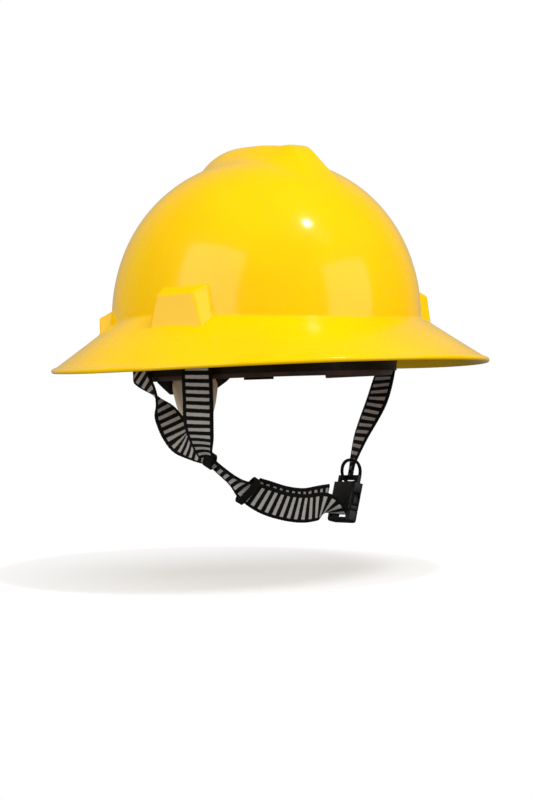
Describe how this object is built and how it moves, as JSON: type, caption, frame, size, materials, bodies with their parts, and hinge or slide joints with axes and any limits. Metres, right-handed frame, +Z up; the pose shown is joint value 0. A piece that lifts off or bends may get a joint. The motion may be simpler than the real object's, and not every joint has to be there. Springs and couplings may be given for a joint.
{
  "type": "safety helmet",
  "caption": "Full-brim hard-shell safety helmet with a raised crest, four-point webbing suspension, ratchet headband, nape pad and striped chin strap with side-release buckle.",
  "frame": {"origin": "middle of the head opening, level with the shell's mean rim plane", "axes": "+Z up, -Y the wearer's front, +X the wearer's left"},
  "size_m": [0.282, 0.332, 0.2611],
  "materials": {
    "shell": "high gloss moulded polyethylene",
    "suspension_plastic": "satin moulded nylon",
    "ratchet_plastic": "satin",
    "buckle_plastic": "satin acetal",
    "screw_steel": "zinc plated",
    "sweatband": "soft grained",
    "nape_pad": "soft brushed",
    "crown_webbing": "woven",
    "striped_webbing": "woven, pale cross stripes",
    "black_webbing": "woven"
  },
  "bodies": {
    "helmet": {"shell": "shell", "headband": "suspension_plastic", "sweatband": "sweatband", "ratchet_housing": "suspension_plastic", "ratchet_cover": "ratchet_plastic", "nape_pad": "nape_pad", "crown_strap_lower": "crown_webbing", "crown_strap_upper": "crown_webbing", "strap_rear_right": "striped_webbing", "strap_front_right": "striped_webbing", "strap_front_left": "striped_webbing", "chin_webbing": "striped_webbing", "chin_webbing_tail": "striped_webbing", "buckle_female": "buckle_plastic", "buckle_strap_loop": "black_webbing", "hook_front_left": "suspension_plastic", "hook_front_right": "suspension_plastic", "anchor_rear_right": "suspension_plastic", "junction_loop": "black_webbing", "webbing_keeper": "black_webbing", "key_front_left": "suspension_plastic", "key_front_right": "suspension_plastic", "key_rear_left": "suspension_plastic", "key_rear_right": "suspension_plastic"},
    "knob": {"ratchet_knob": "ratchet_plastic", "pinion": "ratchet_plastic", "detent_spring": "ratchet_plastic", "knob_screw": "screw_steel"},
    "left_arm": {"left_rack_arm": "suspension_plastic"},
    "right_arm": {"right_rack_arm": "suspension_plastic"},
    "buckle_lower": {"buckle_male": "buckle_plastic"},
    "left_prong": {"buckle_prong_left": "buckle_plastic"},
    "right_prong": {"buckle_prong_right": "buckle_plastic"}
  },
  "joints": [
    {"name": "ratchet_turn", "type": "hinge", "parent": "helmet", "child": "knob", "pos_m": [0, 0.099, 0.004], "axis": [0, 1, 0], "range_deg": [-120, 120]},
    {"name": "left_arm_slide", "type": "hinge", "parent": "helmet", "child": "left_arm", "pos_m": [0, 0.019, 0.004], "axis": [0, 0, -1], "range_deg": [-9.5, 9.5]},
    {"name": "right_arm_slide", "type": "hinge", "parent": "helmet", "child": "right_arm", "pos_m": [0, 0.019, 0.004], "axis": [0, 0, 1], "range_deg": [-9.5, 9.5]},
    {"name": "buckle_release", "type": "slide", "parent": "helmet", "child": "buckle_lower", "axis": [-0.2756, 0, -0.9613], "range_m": [0, 0.024], "deforming": ["buckle_prong_left", "buckle_prong_right", "chin_webbing", "chin_webbing_tail"]},
    {"name": "left_prong_squeeze", "type": "hinge", "parent": "buckle_lower", "child": "left_prong", "pos_m": [0.04249, -0.02154, -0.10108], "axis": [0.956, -0.1045, -0.2741], "range_deg": [0, 8], "stiffness_Nm_per_rad": 0.4},
    {"name": "right_prong_squeeze", "type": "hinge", "parent": "buckle_lower", "child": "right_prong", "pos_m": [0.04098, -0.03646, -0.10064], "axis": [-0.956, 0.1045, 0.2741], "range_deg": [0, 8], "stiffness_Nm_per_rad": 0.4}
  ],
  "couplings": [
    {"joint": "left_arm_slide", "follows": "ratchet_turn", "ratio": 0.075},
    {"joint": "right_arm_slide", "follows": "ratchet_turn", "ratio": 0.075},
    {"joint": "right_prong_squeeze", "follows": "left_prong_squeeze", "ratio": 1}
  ]
}
